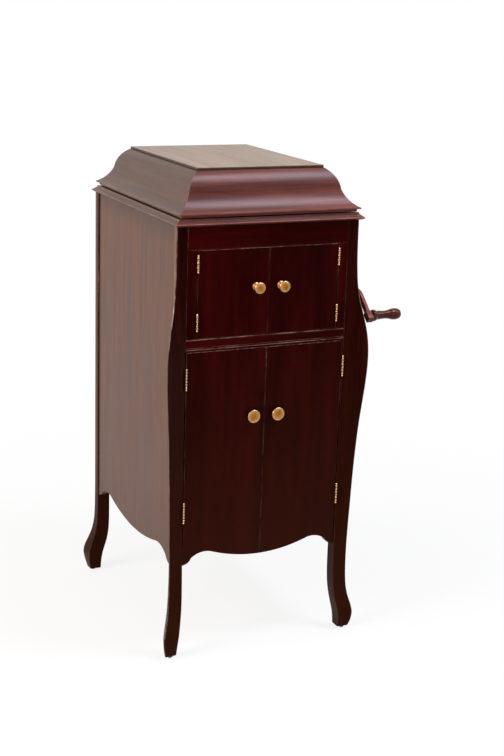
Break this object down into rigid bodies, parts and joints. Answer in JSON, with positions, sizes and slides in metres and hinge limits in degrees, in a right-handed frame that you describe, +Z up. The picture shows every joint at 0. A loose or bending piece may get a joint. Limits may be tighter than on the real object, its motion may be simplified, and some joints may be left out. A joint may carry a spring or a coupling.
{
  "type": "floor-standing wind-up cabinet phonograph",
  "caption": "Wind-up phonograph in a dark mahogany cabinet with an ogee lid, doors over an inside horn and a record cupboard, swelling legs and a side crank.",
  "frame": {"origin": "on the floor under the middle of the cabinet", "axes": "+X to the right seen from the front, +Y to the back, +Z up; the doors face -Y"},
  "size_m": [0.6021, 0.5699, 1.085],
  "materials": {
    "mahogany": "dark red-brown shellac polish over figured mahogany",
    "inner_wood": "plain stained boards",
    "board_wood": "polished mahogany board",
    "brass": "aged gold-toned brass",
    "nickel": "nickel plate",
    "steel": "bright machined steel",
    "iron": "black japanned casting",
    "crank_iron": "browned forged iron",
    "felt": "green wool felt",
    "grip_wood": "dark polished turned wood"
  },
  "bodies": {
    "cabinet": {"left_side_panel": "mahogany", "right_side_panel": "mahogany", "back_panel": "inner_wood", "front_left_leg": "mahogany", "front_right_leg": "mahogany", "rear_left_leg": "mahogany", "rear_right_leg": "mahogany", "top_rail": "mahogany", "middle_rail": "mahogany", "upper_stiles": "mahogany", "case_moulding": "mahogany", "motor_board": "board_wood", "board_bearers": "inner_wood", "horn_shelf": "inner_wood", "bottom_board": "inner_wood", "record_dividers": "inner_wood", "horn": "inner_wood", "horn_elbow": "iron", "tonearm_base": "nickel", "crank_escutcheon": "brass", "motor_top_plate": "iron", "motor_bottom_plate": "iron", "motor_pillars": "iron", "needle_cups": "nickel", "foot_glides": "steel", "case_hinge_leaves": "brass", "hinge_pins": "brass", "lid_stay_bracket": "brass"},
    "lid": {"lid_top_board": "mahogany", "lid_mouldings": "mahogany", "lid_hinge_leaves": "brass"},
    "stay": {"lid_stay": "brass"},
    "crank": {"crank_arm": "crank_iron", "winding_shaft": "steel"},
    "grip": {"crank_grip": "grip_wood"},
    "arbor": {"barrel_arbor": "steel"},
    "barrel": {"spring_barrel": "steel", "mainspring": "steel"},
    "platter": {"turntable": "nickel", "turntable_felt": "felt", "spindle": "steel"},
    "intermediate": {"intermediate_wheel": "steel"},
    "governor": {"governor": "brass"},
    "tonearm": {"tonearm": "nickel"},
    "gooseneck": {"gooseneck": "nickel", "sound_box": "nickel"},
    "brake": {"brake_lever": "nickel"},
    "speed": {"speed_lever": "nickel"},
    "upper_left_door": {"upper_left_door": "mahogany", "upper_left_knob": "brass", "upper_left_door_leaves": "brass"},
    "upper_right_door": {"upper_right_door": "mahogany", "upper_right_knob": "brass", "upper_right_door_leaves": "brass"},
    "lower_left_door": {"lower_left_door": "mahogany", "lower_left_knob": "brass", "lower_left_door_leaves": "brass"},
    "lower_right_door": {"lower_right_door": "mahogany", "lower_right_knob": "brass", "lower_right_door_leaves": "brass"}
  },
  "joints": [
    {"name": "lid_hinge", "type": "hinge", "parent": "cabinet", "child": "lid", "pos_m": [0, 0.2655, 0.9885], "axis": [-1, 0, 0], "range_deg": [0, 72]},
    {"name": "lid_stay_pivot", "type": "hinge", "parent": "cabinet", "child": "stay", "pos_m": [-0.182, 0.195, 0.975], "axis": [-1, 0, 0], "range_deg": [0, 88.5]},
    {"name": "upper_left_door_hinge", "type": "hinge", "parent": "cabinet", "child": "upper_left_door", "pos_m": [-0.1672, -0.2603, 0.829], "axis": [0, 0, -1], "range_deg": [0, 110]},
    {"name": "upper_right_door_hinge", "type": "hinge", "parent": "cabinet", "child": "upper_right_door", "pos_m": [0.1672, -0.2603, 0.829], "axis": [0, 0, 1], "range_deg": [0, 110]},
    {"name": "lower_left_door_hinge", "type": "hinge", "parent": "cabinet", "child": "lower_left_door", "pos_m": [-0.1892, -0.2603, 0.49], "axis": [0, 0, -1], "range_deg": [0, 110]},
    {"name": "lower_right_door_hinge", "type": "hinge", "parent": "cabinet", "child": "lower_right_door", "pos_m": [0.1892, -0.2603, 0.49], "axis": [0, 0, 1], "range_deg": [0, 110]},
    {"name": "crank_turn", "type": "hinge", "parent": "cabinet", "child": "crank", "pos_m": [0.2, -0.1, 0.842], "axis": [1, 0, 0], "continuous": true},
    {"name": "grip_spin", "type": "hinge", "parent": "crank", "child": "grip", "pos_m": [0.32, -0.21331, 0.74069], "axis": [1, 0, 0], "continuous": true},
    {"name": "arbor_turn", "type": "hinge", "parent": "cabinet", "child": "arbor", "pos_m": [0.07599, -0.1, 0.87], "axis": [0, 0, 1], "continuous": true},
    {"name": "platter_spin", "type": "hinge", "parent": "cabinet", "child": "platter", "pos_m": [0, -0.075, 0.95], "axis": [0, 0, 1], "continuous": true},
    {"name": "intermediate_spin", "type": "hinge", "parent": "cabinet", "child": "intermediate", "pos_m": [0.03511, -0.06706, 0.87], "axis": [0, 0, 1], "continuous": true},
    {"name": "barrel_turn", "type": "hinge", "parent": "cabinet", "child": "barrel", "pos_m": [0.07599, -0.1, 0.87], "axis": [0, 0, 1], "continuous": true},
    {"name": "governor_spin", "type": "hinge", "parent": "cabinet", "child": "governor", "pos_m": [-0.0375, -0.075, 0.87], "axis": [0, 0, 1], "continuous": true},
    {"name": "tonearm_swing", "type": "hinge", "parent": "cabinet", "child": "tonearm", "pos_m": [0, 0.165, 0.96], "axis": [0, 0, 1], "range_deg": [-27, 0]},
    {"name": "gooseneck_lift", "type": "hinge", "parent": "tonearm", "child": "gooseneck", "pos_m": [0, 0.165, 0.992], "axis": [-0.7848, 0.6198, 0], "range_deg": [0, 30]},
    {"name": "brake_pivot", "type": "hinge", "parent": "cabinet", "child": "brake", "pos_m": [0.118, -0.195, 0.942], "axis": [0, 0, 1], "range_deg": [-12, 0]},
    {"name": "speed_pivot", "type": "hinge", "parent": "cabinet", "child": "speed", "pos_m": [-0.118, -0.195, 0.942], "axis": [0, 0, 1], "range_deg": [-20, 20]}
  ],
  "couplings": [
    {"joint": "lid_stay_pivot", "follows": "lid_hinge", "ratio": 1.2292},
    {"joint": "arbor_turn", "follows": "crank_turn", "ratio": -0.38462},
    {"joint": "intermediate_spin", "follows": "platter_spin", "ratio": -0.33333},
    {"joint": "barrel_turn", "follows": "platter_spin", "ratio": 0.055556},
    {"joint": "governor_spin", "follows": "platter_spin", "ratio": -4}
  ]
}
